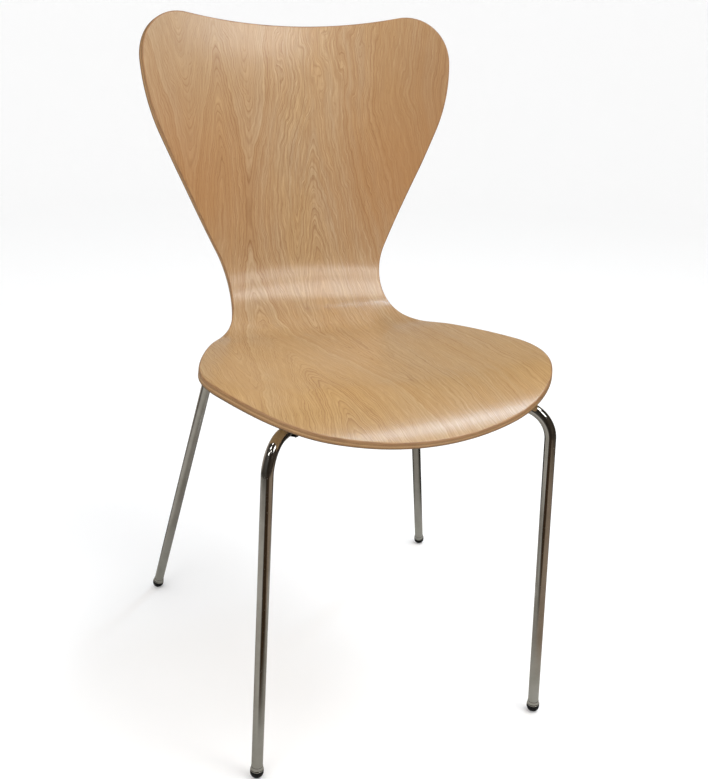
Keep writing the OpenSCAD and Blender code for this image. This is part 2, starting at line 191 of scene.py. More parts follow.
# ---------------------------------------------------------------------------------------------
# Materials: small tools
# ---------------------------------------------------------------------------------------------
class Graph:
    """A material's node tree, built by short calls that take numbers or sockets."""

    def __init__(self, name):
        self.material = bpy.data.materials.new(name)
        self.material.use_nodes = True
        self.tree = self.material.node_tree
        self.shader = self.tree.nodes["Principled BSDF"]

    def feed(self, socket, value):
        if isinstance(value, bpy.types.NodeSocket):
            self.tree.links.new(value, socket)
        else:
            socket.default_value = value

    def add(self, kind, inputs, **settings):
        node = self.tree.nodes.new("ShaderNode" + kind)
        for key, value in settings.items():
            setattr(node, key, value)
        for key, value in inputs.items():
            self.feed(node.inputs[key], value)
        return node

    def uv(self, name):
        return self.add("UVMap", {}, uv_map=name).outputs["UV"]

    def position(self):
        return self.add("TexCoord", {}).outputs["Object"]

    def math(self, operation, first, second=0.0, third=0.0):
        return self.add("Math", {0: first, 1: second, 2: third}, operation=operation).outputs[0]

    def vector(self, operation, first, second=(0, 0, 0)):
        return self.add("VectorMath", {0: first, 1: second}, operation=operation).outputs[0]

    def measure(self, operation, *vectors):
        """A vector operation that gives a number: LENGTH, DISTANCE or DOT_PRODUCT."""
        return self.add("VectorMath", dict(enumerate(vectors)), operation=operation).outputs["Value"]

    def split(self, vector):
        return tuple(self.add("SeparateXYZ", {0: vector}).outputs)

    def join(self, x, y, z=0.0):
        return self.add("CombineXYZ", {0: x, 1: y, 2: z}).outputs[0]

    def noise(self, vector, stretch, detail=2.0, roughness=0.5, output="Fac"):
        """Noise with so many features per metre along each axis."""
        scaled = self.vector("MULTIPLY", vector, stretch)
        node = self.add("TexNoise", {"Vector": scaled, "Scale": 1.0, "Detail": detail,
                                     "Roughness": roughness})
        return node.outputs[output]

    def noise_along(self, value, scale, detail=2.0, roughness=0.6):
        node = self.add("TexNoise", {"W": value, "Scale": scale, "Detail": detail, "Roughness": roughness},
                        noise_dimensions="1D")
        return node.outputs["Fac"]

    def ramp(self, value, low, high, to_low=0.0, to_high=1.0):
        """A smooth step from one value to another."""
        node = self.add("MapRange", {"Value": value, "From Min": low, "From Max": high,
                                     "To Min": to_low, "To Max": to_high}, interpolation_type="SMOOTHSTEP")
        return node.outputs[0]

    def mix(self, share, first, second):
        node = self.add("Mix", {"Factor": share}, data_type="RGBA")
        self.feed(node.inputs[6], first)
        self.feed(node.inputs[7], second)
        return node.outputs[2]

    def bump(self, height, distance, strength):
        return self.add("Bump", {"Height": height, "Distance": distance, "Strength": strength}).outputs[0]

    def finish(self, **sockets):
        for key, value in sockets.items():
            self.feed(self.shader.inputs[key.replace("_", " ")], value)
        return self.material


def rgb(red, green, blue):
    """A colour from 0 to 255 display values."""
    return tuple(((c / 255 + 0.055) / 1.055) ** 2.4 for c in (red, green, blue)) + (1.0,)


def linear(red, green, blue):
    """A colour from linear values."""
    return (red, green, blue, 1.0)


# ---------------------------------------------------------------------------------------------
# Veneer: flat-sawn figure, laid out on the flat blank in metres, x across and s along the grain
# ---------------------------------------------------------------------------------------------
VENEER_PALE = rgb(194, 170, 136)
VENEER_WARM = rgb(196, 162, 113)
VENEER_DEEP = rgb(186, 146, 98)
VENEER_WAIST_TONE_AND_SHADE = rgb(170, 121, 73)
VENEER_SEAT_PAINTED_LIGHT = rgb(188, 150, 90)
VENEER_BACK_TOP_LEFT_PAINTED_SHADE = rgb(162, 138, 110)
VENEER_BACK_RIGHT_PAINTED_SHADE = rgb(148, 110, 72)
VENEER_LINE = rgb(134, 92, 56)
VENEER_PORE = rgb(112, 78, 50)

# Hearts of the figure: (x, rise, tip, slope above, slope below). The growth rings lie either side
# of the line x. Rise lifts one heart over its neighbours, in rings. The rings gain so many per
# metre above the tip and below it: above it a negative slope draws arches that open upwards, and
# a positive one arches that close.
FACE_HEARTS = [
    (-0.172, 0.0, 0.66, -105.0, 0.0),
    (-0.080, 6.0, 0.60, -85.0, -70.0),
    (0.024, 2.0, 0.47, 95.0, 8.0),
]
BACK_HEARTS = [
    (-0.060, 0.0, 0.50, 80.0, 0.0),
    (0.085, 2.0, 0.70, -90.0, -40.0),
]
RINGS_PER_METRE = 370.0
HEART_DEPTH = 0.006
HEART_TURN = 0.09           # length over which a heart's slope changes at its tip
HEART_BLEND = 4.0           # rings over which neighbouring hearts run into each other
FIGURE = (0.03, 0.80, 0.075, 0.060)     # wavy figure: x, s, half width and half length
FIGURE_WAVES = (44, 15, 1)
FIGURE_RINGS = 16.0         # rings that the figure's waves lift
FIGURE_SLOPE = 170.0        # rings that the figure climbs in a metre

# Waves that bend the rings: features per metre across and along the grain, and their reach
GRAIN_WAVES = [
    ((7, 2.2, 1), (0.030, 0.060, 0)),
    ((26, 10, 1), (0.012, 0.024, 0)),
    ((75, 42, 1), (0.0075, 0.012, 0)),
    ((260, 130, 1), (0.0017, 0.002, 0)),
]

# Noise over the veneer, in features per metre across and along the grain
FIBRES = (1500, 42, 1)
PORES = (620, 110, 1)
STRANDS = (360, 26, 1)
LINE_FADES = (16, 5, 1)
CLOUDS = (9, 3.2, 1)

# Noise from ring to ring, in features per ring, and how far the rings' spacing wanders
SPACING_NOISE = 0.37
SPACING_RINGS = 2.4
STRENGTH_NOISE = 0.61
BROAD_NOISE = 0.16
BAND_NOISE = 0.9

# A ring darkens over a part of its width, and its line breaks off at the start of the next ring
LATE_WOOD = (0.30, 0.92)
LATE_POWER = 2.2
BREAK_FROM = 0.90

# Shares of a darker colour where each layer of the figure is strongest
BROAD_SHARE = 0.50
BAND_SHARE = 0.34
STRAND_SHARE = 0.30
FIBRE_SHARE = 0.20
LINE_SHARE = 0.60
PORE_SHARE = 0.20

# Places where the tone turns, as soft spots (x, s, half width, half length), most of them painted light and
# shade.
# The waist is darker at its two sides than in its middle: painted shade where the shell wraps, partly the
# wood's own tone.
# The spots below give the seat a deeper gold for how the light falls on it, and painted shade on the back's
# right side and its greyer top left.
WHOLE_WIDTH = 9
WAIST = (0, 0.64, WHOLE_WIDTH, 0.13)
WAIST_MIDDLE = (0, 0.64, 0.10, 0.13)
WAIST_TONE_AND_SHADE_SHARE = 0.70
PAINTED_LIGHT_AND_SHADE_SPOTS = [
    # Painted light: the seat's deeper gold, for how the light falls on it
    ((0, 0.15, WHOLE_WIDTH, 0.24), 0.40, VENEER_SEAT_PAINTED_LIGHT),
    # Painted shade: the back's right side, darker towards its edge
    ((0.19, 0.79, 0.09, 0.13), 0.50, VENEER_BACK_RIGHT_PAINTED_SHADE),
    # Painted shade: a greyer, darker top left of the back, toning down the light there
    ((-0.15, 0.86, 0.11, 0.14), 0.50, VENEER_BACK_TOP_LEFT_PAINTED_SHADE),
]


def bell(g, blank, spot):
    """A soft spot on the blank, 1 at its middle: spot is (x, s, half width, half length)."""
    centre_x, centre_s, width, length = spot
    offset = g.vector("SUBTRACT", blank, (centre_x, centre_s, 0))
    scaled = g.vector("MULTIPLY", offset, (1 / width, 1 / length, 0))
    return g.math("EXPONENT", g.math("MULTIPLY", g.measure("DOT_PRODUCT", scaled, scaled), -1))


def ring_field(g, blank, hearts, seed):
    """Number of growth rings crossed at each place of the blank. The seed moves the waves."""
    shifted = g.vector("ADD", blank, (seed, seed * 2, seed * 3))
    warped = blank
    for stretch, reach in GRAIN_WAVES:
        centred = g.vector("SUBTRACT", g.noise(shifted, stretch, detail=1.0, output="Color"), (0.5, 0.5, 0.5))
        warped = g.vector("ADD", warped, g.vector("MULTIPLY", centred, reach))
    x, s, _ = g.split(warped)
    rings = None
    for heart_x, rise, tip, slope_above, slope_below in hearts:
        aside = g.math("SUBTRACT", x, heart_x)
        reach = g.math("SQRT", g.math("MULTIPLY_ADD", aside, aside, HEART_DEPTH ** 2))
        along = g.math("SUBTRACT", s, tip)
        bent = g.math("SQRT", g.math("MULTIPLY_ADD", along, along, HEART_TURN ** 2))
        opening = g.math("MULTIPLY_ADD", along, (slope_above - slope_below) / 2, rise)
        opening = g.math("MULTIPLY_ADD", bent, (slope_above + slope_below) / 2, opening)
        value = g.math("MULTIPLY_ADD", reach, RINGS_PER_METRE, opening)
        rings = value if rings is None else g.math("SMOOTH_MIN", rings, value, HEART_BLEND)
    wave = g.math("SUBTRACT", g.noise(shifted, FIGURE_WAVES, detail=1.0), 0.5)
    climb = g.math("MULTIPLY_ADD", g.math("SUBTRACT", s, FIGURE[1]), FIGURE_SLOPE,
                   g.math("MULTIPLY", wave, FIGURE_RINGS))
    return g.math("MULTIPLY_ADD", climb, bell(g, blank, FIGURE), rings)


def ring_lines(g, blank, rings):
    """The dark late wood at the end of each ring, from 0 to 1."""
    uneven = g.noise_along(rings, SPACING_NOISE)
    phase = g.math("FRACT", g.math("MULTIPLY_ADD", uneven, SPACING_RINGS, rings))
    rise = g.math("POWER", g.ramp(phase, *LATE_WOOD), LATE_POWER)
    late = g.math("MULTIPLY", rise, g.ramp(phase, BREAK_FROM, 1.0, 1.0, 0.0))
    strength = g.ramp(g.noise_along(rings, STRENGTH_NOISE, detail=1.0), 0.32, 0.62, 0.3, 1.0)
    fade = g.ramp(g.noise(blank, LINE_FADES), 0.32, 0.66, 0.45, 1.0)
    return g.math("MULTIPLY", late, g.math("MULTIPLY", strength, fade))


def veneer_material(name, hearts, seed):
    """Flat-sawn pale hardwood under a satin lacquer, laid out on the flat blank."""
    g = Graph(name)
    blank = g.uv("Blank")
    rings = ring_field(g, blank, hearts, seed)
    line = ring_lines(g, blank, rings)
    fibre = g.noise(blank, FIBRES, detail=3.0, roughness=0.6)
    pores = g.ramp(g.noise(blank, PORES, roughness=0.7), 0.58, 0.72)
    strands = g.noise(blank, STRANDS, roughness=0.6)
    cloud = g.noise(blank, CLOUDS, detail=3.0, roughness=0.55)
    broad = g.noise_along(rings, BROAD_NOISE, detail=3.0)
    bands = g.noise_along(rings, BAND_NOISE)

    tint = g.mix(g.ramp(cloud, 0.3, 0.7), VENEER_PALE, VENEER_WARM)
    tint = g.mix(g.ramp(broad, 0.30, 0.70, 0.0, BROAD_SHARE), tint, VENEER_DEEP)
    tint = g.mix(g.ramp(bands, 0.30, 0.70, 0.0, BAND_SHARE), tint, VENEER_LINE)
    tint = g.mix(g.ramp(strands, 0.30, 0.70, 0.0, STRAND_SHARE), tint, VENEER_LINE)
    tint = g.mix(g.ramp(fibre, 0.25, 0.75, 0.0, FIBRE_SHARE), tint, VENEER_LINE)
    # Painted shade, partly the wood's own tone: darker at the waist's two sides, where the shell wraps
    waist_side_tone_and_shade = g.math("SUBTRACT", bell(g, blank, WAIST), bell(g, blank, WAIST_MIDDLE))
    tint = g.mix(g.math("MULTIPLY", waist_side_tone_and_shade, WAIST_TONE_AND_SHADE_SHARE), tint, VENEER_WAIST_TONE_AND_SHADE)
    # Painted light and shade in spots: the seat's deeper gold, the back's darker right side and greyer top
    # left
    for spot, share, colour in PAINTED_LIGHT_AND_SHADE_SPOTS:
        tint = g.mix(g.math("MULTIPLY", bell(g, blank, spot), share), tint, colour)
    tint = g.mix(g.math("MULTIPLY", line, LINE_SHARE), tint, VENEER_LINE)
    tint = g.mix(g.math("MULTIPLY", pores, PORE_SHARE), tint, VENEER_PORE)
    height = g.math("SUBTRACT", g.math("MULTIPLY", fibre, 0.5), g.math("MULTIPLY_ADD", line, 0.6, pores))
    return g.finish(
        Base_Color=tint,
        Roughness=g.math("MULTIPLY_ADD", line, 0.10, g.ramp(cloud, 0.2, 0.8, 0.42, 0.50)),
        Specular_IOR_Level=0.12,
        Coat_Weight=0.9,
        Coat_Roughness=0.22,
        Normal=g.bump(height, 0.00006, 0.8),
        Coat_Normal=g.bump(g.math("ADD", strands, fibre), 0.00005, 0.35),
    )


# ---------------------------------------------------------------------------------------------
# The other materials
# ---------------------------------------------------------------------------------------------
LONG_MARKS = 0.020          # length of the marks on a ply's edge: along the grain, and end grain
END_MARKS = 0.0011


def ply_edge_material(name, base, dark, marks_length):
    """A ply's cut edge, on the UV map that runs along it, in metres."""
    g = Graph(name)
    edge = g.uv("Edge")
    marks = g.noise(edge, (1 / marks_length, 2600, 1), detail=3.0, roughness=0.65)
    patches = g.noise(edge, (22, 60, 1))
    tint = g.mix(g.ramp(marks, 0.35, 0.65), base, dark)
    return g.finish(
        Base_Color=g.mix(g.ramp(patches, 0.4, 0.75, 0.0, 0.35), tint, dark),
        Roughness=g.ramp(marks, 0.3, 0.7, 0.42, 0.58),
        Coat_Weight=0.2,
        Coat_Roughness=0.35,
        Normal=g.bump(marks, 0.00015, 0.6),
    )


def chrome_material(name):
    """Polished chrome plate on drawn tube, with haze, specks and a faint waviness."""
    g = Graph(name)
    place = g.position()
    haze = g.noise(place, (34, 34, 34), detail=3.0, roughness=0.6)
    specks = g.ramp(g.noise(place, (900, 900, 900), detail=1.0), 0.70, 0.78)
    waves = g.noise(place, (55, 55, 12))
    tint = g.mix(g.ramp(haze, 0.35, 0.7), linear(0.50, 0.495, 0.48), linear(0.43, 0.42, 0.40))
    return g.finish(
        Base_Color=g.mix(g.math("MULTIPLY", specks, 0.5), tint, linear(0.16, 0.14, 0.12)),
        Metallic=1.0,
        Roughness=g.math("MULTIPLY_ADD", specks, 0.2, g.ramp(haze, 0.3, 0.75, 0.07, 0.15)),
        Normal=g.bump(waves, 0.0004, 0.35),
    )


def black_material(name, tint, grain, roughness):
    """Moulded black plastic or rubber with a fine even grain, in grains per metre."""
    g = Graph(name)
    place = g.position()
    skin = g.noise(place, (grain, grain, grain), roughness=0.6)
    scuffs = g.noise(place, (60, 60, 60), detail=4.0, roughness=0.65)
    scuffed = linear(*(c * 2.2 for c in tint[:3]))
    return g.finish(
        Base_Color=g.mix(g.ramp(scuffs, 0.45, 0.8, 0.0, 0.6), tint, scuffed),
        Specular_IOR_Level=0.12,
        Roughness=g.ramp(scuffs, 0.3, 0.7, roughness - 0.06, roughness + 0.08),
        Normal=g.bump(skin, 0.00012, 0.5),
    )


def zinc_material(name):
    """Bright zinc plate with a crystalline mottle and a faint warm passivation."""
    g = Graph(name)
    place = g.position()
    cells = g.add("TexVoronoi", {"Vector": place, "Scale": 260.0}).outputs["Color"]
    mottle = g.noise(place, (90, 90, 90), detail=3.0)
    tint = g.mix(g.ramp(mottle, 0.3, 0.7), linear(0.50, 0.50, 0.51), linear(0.60, 0.58, 0.53))
    return g.finish(
        Base_Color=g.mix(0.12, tint, cells),
        Metallic=1.0,
        Roughness=g.ramp(mottle, 0.3, 0.7, 0.28, 0.42),
        Normal=g.bump(mottle, 0.0001, 0.4),
    )


MATERIALS = {
    "face_veneer": veneer_material("veneer_sitting_side", FACE_HEARTS, 0.0),
    "back_veneer": veneer_material("veneer_rear_side", BACK_HEARTS, 3.7),
    "long_edge": ply_edge_material("ply_edge_long_grain", rgb(184, 144, 96), rgb(154, 116, 74), LONG_MARKS),
    "cross_edge": ply_edge_material("ply_edge_end_grain", rgb(164, 122, 74), rgb(120, 86, 50), END_MARKS),
    "upper_edge": ply_edge_material("ply_edge_upper", rgb(168, 126, 80), rgb(130, 92, 56), LONG_MARKS),
    # Painted shade: the back veneer's edge is darker, as the shell's underside is in shade
    "lower_edge_painted_shade": ply_edge_material("ply_edge_lower_painted_shade", rgb(114, 86, 56), rgb(82, 60, 38), LONG_MARKS),
    "chrome": chrome_material("chrome_plate"),
    "rubber": black_material("black_rubber", linear(0.010, 0.010, 0.010), 1600, 0.62),
    "plastic": black_material("black_plastic", linear(0.006, 0.006, 0.007), 2400, 0.42),
    "zinc": zinc_material("zinc_plate"),
}


# ---------------------------------------------------------------------------------------------
# Small tools for meshes
# ---------------------------------------------------------------------------------------------
AROUND = 48                 # points round a tube or a turned piece


def link_mesh(name, points, faces, sharp_angle=35):
    """A new smooth-shaded mesh object from points in metres."""
    mesh = bpy.data.meshes.new(name)
    mesh.from_pydata([tuple(p) for p in points], [], faces)
    mesh.polygons.foreach_set("use_smooth", [True] * len(mesh.polygons))
    mesh.set_sharp_from_angle(angle=math.radians(sharp_angle))
    mesh.update()
    piece = bpy.data.objects.new(name, mesh)
    bpy.context.scene.collection.objects.link(piece)
    return piece


def settle(piece, node, *looks):
    """Gives a piece its materials and puts it in the place of a CAD node."""
    for look in looks:
        piece.data.materials.append(MATERIALS[look])
    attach(piece, "root")
    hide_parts(node)


def band(first, second):
    """Quads between two closed rings of vertex numbers."""
    count = len(first)
    return [(first[i], first[(i + 1) % count], second[(i + 1) % count], second[i]) for i in range(count)]


def ring_numbers(rings, around):
    """Vertex numbers of so many rings that follow one another, each with around points."""
    return [list(range(i * around, (i + 1) * around)) for i in range(rings)]


def ring_directions(first, second, count=AROUND):
    """Unit vectors all round, from first towards second."""
    angles = np.arange(count) * 2 * math.pi / count
    return np.cos(angles)[:, None] * np.array(first) + np.sin(angles)[:, None] * np.array(second)


def arc(centre_r, centre_z, radius, start, end, steps=6):
    """Points (r, z) on an arc, angles in degrees from the outward direction."""
    angles = np.radians(np.linspace(start, end, steps + 1))
    return [(centre_r + radius * math.cos(a), centre_z + radius * math.sin(a)) for a in angles]


# ---------------------------------------------------------------------------------------------
# The shell: five plies, each a closed sheet with its own edge
# ---------------------------------------------------------------------------------------------
HALF_COLUMNS = 30
COLUMNS = 2 * HALF_COLUMNS + 1
ROWS = 190
FIELD_INSET = 9.0           # the even grid stops this far inside the edge, and rings carry on from there
RIM_INSETS = (5.0, 2.8)     # rings between the even grid and the edge, the second only by an arris
CORNER_REACH = 4            # how quickly the front and top edges' shapes fade into the grid's rows
ARRIS_STEPS = 6
EDGE_SHOWS_WITHIN = 0.75 * EDGE_ROUNDING    # faces this near the rim look like a cut edge


def blank_grid(inset):
    """The blank's grid points, (ROWS + 1, COLUMNS, 2), with its border set in by inset."""
    u = np.linspace(-1, 1, COLUMNS)[None, :]
    v = np.linspace(0, 1, ROWS + 1)[:, None]
    size = np.abs(u)
    front = edge_points(size * FRONT_CORNER, inset)
    top = edge_points(OUTLINE.length - size * (OUTLINE.length - TOP_CORNER), inset)
    side = edge_points(FRONT_CORNER + v * (TOP_CORNER - FRONT_CORNER), inset)
    low = (1 - v) ** CORNER_REACH
    high = v ** CORNER_REACH
    lift = front[0, -1, 1] - front[0, HALF_COLUMNS, 1]
    drop = top[0, -1, 1] - top[0, HALF_COLUMNS, 1]

    def plain_row(side_point, low_share, high_share):
        middle = side_point[..., 1] - lift * low_share - drop * high_share
        return np.stack(np.broadcast_arrays(
            side_point[..., 0] * size, middle + (side_point[..., 1] - middle) * size ** 2), -1)

    points = plain_row(side, low, high)
    points = points + low[..., None] * (front - plain_row(side[:1], 1, 0))
    points = points + high[..., None] * (top - plain_row(side[-1:], 0, 1))
    points[..., 0] *= np.sign(u)
    return points


def border_numbers():
    """The grid's border, once round from the front's left end: vertex numbers."""
    grid = np.arange((ROWS + 1) * COLUMNS).reshape(ROWS + 1, COLUMNS)
    return np.concatenate([grid[0, :-1], grid[:-1, -1], grid[-1, :0:-1], grid[:0:-1, 0]]).tolist()


def border_ring(inset):
    """Blank points and outline runs of the same border, at another inset."""
    u = np.linspace(-1, 1, COLUMNS)
    side = FRONT_CORNER + np.linspace(0, 1, ROWS + 1) * (TOP_CORNER - FRONT_CORNER)
    front = np.abs(u) * FRONT_CORNER
    top = OUTLINE.length - np.abs(u) * (OUTLINE.length - TOP_CORNER)
    run = np.concatenate([front[:-1], side[:-1], top[:0:-1], side[:0:-1]])
    sign = np.concatenate([np.sign(u[:-1]), np.ones(ROWS), np.sign(u[:0:-1]), -np.ones(ROWS)])
    points = edge_points(run, inset)
    points[:, 0] *= sign
    return points, run * np.where(sign < 0, -1, 1)


def ply_section(number):
    """Stations (inset, off) from a ply's upper sheet round its edge to its lower sheet."""
    low = number * PLY - HALF_SHELL
    high = low + PLY
    outer_rim, inner_rim = RIM_INSETS
    arris = [(EDGE_ROUNDING * (1 - math.sin(a)), HALF_SHELL - EDGE_ROUNDING * (1 - math.cos(a)))
             for a in np.radians(np.linspace(0, 90, ARRIS_STEPS + 1))]
    upper = [(0.0, high)]
    lower = [(0.0, low)]
    if number == len(PLY_LOOKS) - 1:
        upper = [(inner_rim, high)] + arris
    if number == 0:
        lower = [(inset, -off) for inset, off in reversed(arris)] + [(inner_rim, low)]
    return [(outer_rim, high)] + upper + lower + [(outer_rim, low)]


def add_uv(piece, name, per_vertex):
    """A UV map with one value for each vertex."""
    layer = piece.data.uv_layers.new(name=name)
    corners = np.zeros(len(piece.data.loops), np.int32)
    piece.data.loops.foreach_get("vertex_index", corners)
    layer.data.foreach_set("uv", per_vertex[corners].astype(np.float32).ravel())


def make_ply(node, number):
    """Ply number 0 to 4 from the back face: two sheets on the grid, and rings round its edge."""
    stations = ply_section(number)
    grid = blank_grid(FIELD_INSET).reshape(-1, 2)
    sheet = [(a, a + 1, a + COLUMNS + 1, a + COLUMNS)
             for row in range(ROWS) for a in range(row * COLUMNS, (row + 1) * COLUMNS - 1)]
    border = border_numbers()
    # One entry for the upper sheet, each ring and the lower sheet: (blank points, off, outline runs)
    layers = [(grid, stations[0][1], np.zeros(len(grid)))]
    faces = list(sheet)
    edge_faces = []
    previous = border
    count = len(grid)
    for inset, off in stations:
        points, run = border_ring(inset)
        ring = list(range(count, count + len(points)))
        if inset < EDGE_SHOWS_WITHIN:
            edge_faces += range(len(faces), len(faces) + len(ring))
        faces += band(ring, previous)
        layers.append((points, off, run))
        previous = ring
        count += len(points)
    faces += band([n + count for n in border], previous)
    faces += [tuple(n + count for n in reversed(face)) for face in sheet]
    layers.append((grid, stations[-1][1], np.zeros(len(grid))))

    blank = np.concatenate([points for points, _, _ in layers])
    off = np.concatenate([np.full(len(points), off) for points, off, _ in layers])
    run = np.concatenate([run for _, _, run in layers])
    piece = link_mesh(node + "_shell", shell_points(blank[:, 0], blank[:, 1], off) * MM, faces)
    add_uv(piece, "Blank", blank * MM)
    add_uv(piece, "Edge", np.stack([run, off], -1) * MM)
    for face in edge_faces:
        piece.data.polygons[face].material_index = 1
    return piece


def make_shell():
    """The five plies, moved so that the core ply lies where the CAD core ply is. Returns the move."""
    plies = {node: make_ply(node, number) for number, node in enumerate(PLY_LOOKS)}
    core = np.array([vertex.co for vertex in plies["core_ply"].data.vertices])
    low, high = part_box("core_ply")
    shift = (low + high) / 2 - Vector((core.min(0) + core.max(0)) / 2)
    shift.x = 0
    for node, piece in plies.items():
        piece.data.transform(Matrix.Translation(shift))
        settle(piece, node, *PLY_LOOKS[node])
    return shift


SHELL_SHIFT = make_shell()


# ---------------------------------------------------------------------------------------------
# Legs with their ferrules, glides and bumpers
# ---------------------------------------------------------------------------------------------
STRAIGHT_SHARES = np.linspace(0.06, 1, 16)      # where the tube has rings: along the leg,
BEND_STEPS = 28                                 # round the knee
RUN_SHARES = np.linspace(0.1, 1, 9)             # and along to the hub
SEAT_REACH = 420            # length of the side profile that lies over the legs, in millimetres
SAMPLES_PER_MM = 4


def seat_underside(place):
    """Point of the shell's underside above a place under the seat, and its normal, in metres."""
    reach = np.linspace(0, SEAT_REACH, SEAT_REACH * SAMPLES_PER_MM + 1)
    along = PROFILE.at(reach)[0][:, 0] * MM + SHELL_SHIFT.y
    s = np.interp(place.y, along, reach)
    x = np.array([place.x / MM])
    below, above = (shell_points(x, np.array([s]), off)[0] for off in (-HALF_SHELL, HALF_SHELL))
    return Vector(below) * MM + SHELL_SHIFT, Vector(above - below).normalized()


class LegLine:
    """One leg's centre line: up from its glide, round the knee and along to the hub."""

    def __init__(self, end, side):
        low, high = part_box("mounting_plate")
        knee_x, knee_y = KNEES[end]
        run_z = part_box(f"{end}_{side}_leg")[1].z - TUBE_RADIUS * MM
        self.hub = Vector(((low.x + high.x) / 2, (low.y + high.y) / 2, run_z))
        self.knee = Vector((SIDE_SIGN[side] * knee_x * MM, knee_y * MM, run_z))
        self.dome = MOUNT_AT[f"{end}_{side}_floor"] + Vector((0, 0, GLIDE_CENTRE_Z * MM))
        self.up = (self.knee - self.dome).normalized()
        self.run = (self.hub - self.knee).normalized()
        self.inward = (self.run - self.run.dot(self.up) * self.up).normalized()
        self.across = self.up.cross(self.inward)
        self.turn = self.up.angle(self.run)

    def stations(self):
        """Centres and outward directions along the tube, from its foot to its end at the hub."""
        bend = KNEE_BEND * MM
        chamfer = TUBE_CHAMFER[0] * MM
        foot = self.dome + self.up * COLLAR * MM
        start = self.knee - self.up * bend * math.tan(self.turn / 2)
        centre = start + self.inward * bend
        stations = []
        for share in (0, chamfer / (start - foot).length, *STRAIGHT_SHARES):
            stations.append((foot.lerp(start, share), -self.inward))
        for angle in np.linspace(0, self.turn, BEND_STEPS + 1)[1:]:
            out = self.up * math.sin(angle) - self.inward * math.cos(angle)
            stations.append((centre + out * bend, out))
        corner, out = stations[-1]
        finish = self.hub - self.run * HUB_GAP * MM
        for share in RUN_SHARES:
            stations.append((corner.lerp(finish, share), out))
        stations.insert(-1, (finish - self.run * chamfer, out))
        return stations


def make_leg(line, node):
    """An open tube with its two ends chamfered inside and out."""
    stations = line.stations()
    count = len(stations)
    rings = []
    for radius, chamfer in ((TUBE_RADIUS, -TUBE_CHAMFER[1]), (BORE_RADIUS, TUBE_CHAMFER[1])):
        for i, (centre, out) in enumerate(stations):
            size = radius + chamfer if i in (0, count - 1) else radius
            rings.append(np.array(centre) + ring_directions(out, line.across) * size * MM)
    numbers = ring_numbers(2 * count, AROUND)
    outer, inner = numbers[:count], numbers[count:]
    faces = []
    for i in range(count - 1):
        faces += band(outer[i + 1], outer[i]) + band(inner[i], inner[i + 1])
    faces += band(outer[0], inner[0]) + band(inner[-1], outer[-1])
    settle(link_mesh(node + "_tube", np.concatenate(rings), faces), node, "chrome")


def turned(profile, line, base):
    """Points and faces of a closed (r, z) profile in mm, turned about a leg's line from base."""
    points = []
    rings = []
    spokes = ring_directions(line.inward, line.across)
    for r, z in profile:
        centre = np.array(base + line.up * z * MM)
        if r == 0:
            rings.append([len(points)])
            points.append(centre)
        else:
            rings.append(list(range(len(points), len(points) + AROUND)))
            points += list(centre + spokes * r * MM)
    closing = [] if profile[0][0] == 0 else rings[:1]
    faces = []
    for first, second in zip(rings, rings[1:] + closing):
        if len(first) == 1:
            faces += [(first[0], second[(i + 1) % AROUND], second[i]) for i in range(AROUND)]
        elif len(second) == 1:
            faces += [(first[i], first[(i + 1) % AROUND], second[0]) for i in range(AROUND)]
        else:
            faces += band(first, second)
    return np.array(points), faces


def make_ferrule(line, node):
    """The bright lip over a glide, with a neck that thins out up the tube."""
    lip_r = GLIDE_RADIUS - FERRULE_INSET - FERRULE_LIP
    inner = TUBE_RADIUS + FIT_GAP
    profile = (
        [(inner, 0.0)]
        + arc(lip_r, FERRULE_LIP, FERRULE_LIP, -90, 0)
        + arc(lip_r, FERRULE_LIP_TOP, FERRULE_LIP, 0, 60)
        + [(TUBE_RADIUS + wall, height) for wall, height in FERRULE_NECK]
        + [(inner, FERRULE_NECK[-1][1])]
    )
    points, faces = turned(profile, line, line.dome + line.up * COLLAR * MM)
    settle(link_mesh(node + "_ring", points, faces), node, "chrome")


def make_glide(line, node):
    """A domed plug with its stem in the tube and a small flat where it stands on the floor."""
    stem = BORE_RADIUS - FIT_GAP
    top = COLLAR + STEM
    profile = (
        [(0.0, -GLIDE_RADIUS)]
        + arc(0, 0, GLIDE_RADIUS, -90, 0, steps=20)[1:]
        + arc(GLIDE_RADIUS - GLIDE_ROUNDING, COLLAR - GLIDE_ROUNDING, GLIDE_ROUNDING, 0, 90)
        + [(stem, COLLAR), (stem, top - STEM_CHAMFER), (stem - STEM_CHAMFER, top), (0.0, top)]
    )
    points, faces = turned(profile, line, line.dome)
    points[:, 2] = np.maximum(points[:, 2], 0.0)
    settle(link_mesh(node + "_plug", points, faces), node, "plastic")


def bumper_outline():
    """Points (across, height) of a bumper's section about the tube. No height means at the shell."""
    bore = TUBE_RADIUS + FIT_GAP
    outer_slot, inner_slot = (math.degrees(math.asin(CLIP_SLOT / 2 / r)) - 90 for r in (BUMPER_RADIUS, bore))
    return (
        arc(0, 0, BUMPER_RADIUS, outer_slot, 0, steps=14)
        + [(BUMPER_RADIUS, None), (-BUMPER_RADIUS, None)]
        + arc(0, 0, BUMPER_RADIUS, 180, 180 - outer_slot, steps=14)
        + arc(0, 0, bore, 180 - inner_slot, inner_slot, steps=28)
    )


